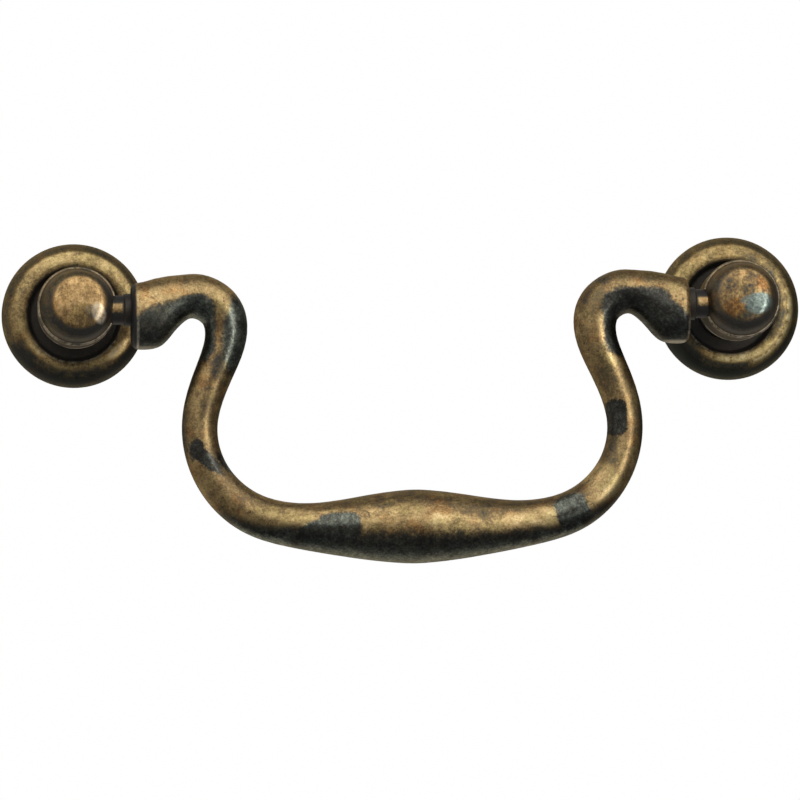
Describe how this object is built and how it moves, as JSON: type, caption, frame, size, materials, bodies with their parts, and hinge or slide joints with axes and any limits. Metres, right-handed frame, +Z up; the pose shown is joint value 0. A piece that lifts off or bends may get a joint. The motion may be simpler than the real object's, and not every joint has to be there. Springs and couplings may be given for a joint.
{
  "type": "drop pull",
  "caption": "Swan-neck bail pull with a bulged grip, hung by its cast pins in two rimmed knob posts on round moulded rosettes; dark-patinated brass.",
  "frame": {"origin": "midway between the two fixing screws, on the flat backs of the rosettes, which is the face of the drawer front", "axes": "+X along the pull, +Y into the drawer front (the way the screws leave), +Z up when mounted; the pull stands out towards -Y and its bail hangs down"},
  "size_m": [0.117, 0.0193, 0.0481],
  "materials": {
    "bail_brass": "cast, dark patina rubbed back to gold on the high spots, a few glossy black spots",
    "post_brass": "turned, dark patina rubbed back on the cap and rim",
    "rosette_brass": "turned, dark patina in the sunk floor, rubbed gold on the ring"
  },
  "bodies": {
    "fixed_posts": {"left_post": "post_brass", "right_post": "post_brass", "left_rosette": "rosette_brass", "right_rosette": "rosette_brass"},
    "bail": {"bail": "bail_brass"}
  },
  "joints": [
    {"name": "bail_swing", "type": "hinge", "parent": "fixed_posts", "child": "bail", "pos_m": [0, -0.014, -0.00055], "axis": [-1, 0, 0], "range_deg": [-15.5, 195.5]}
  ]
}
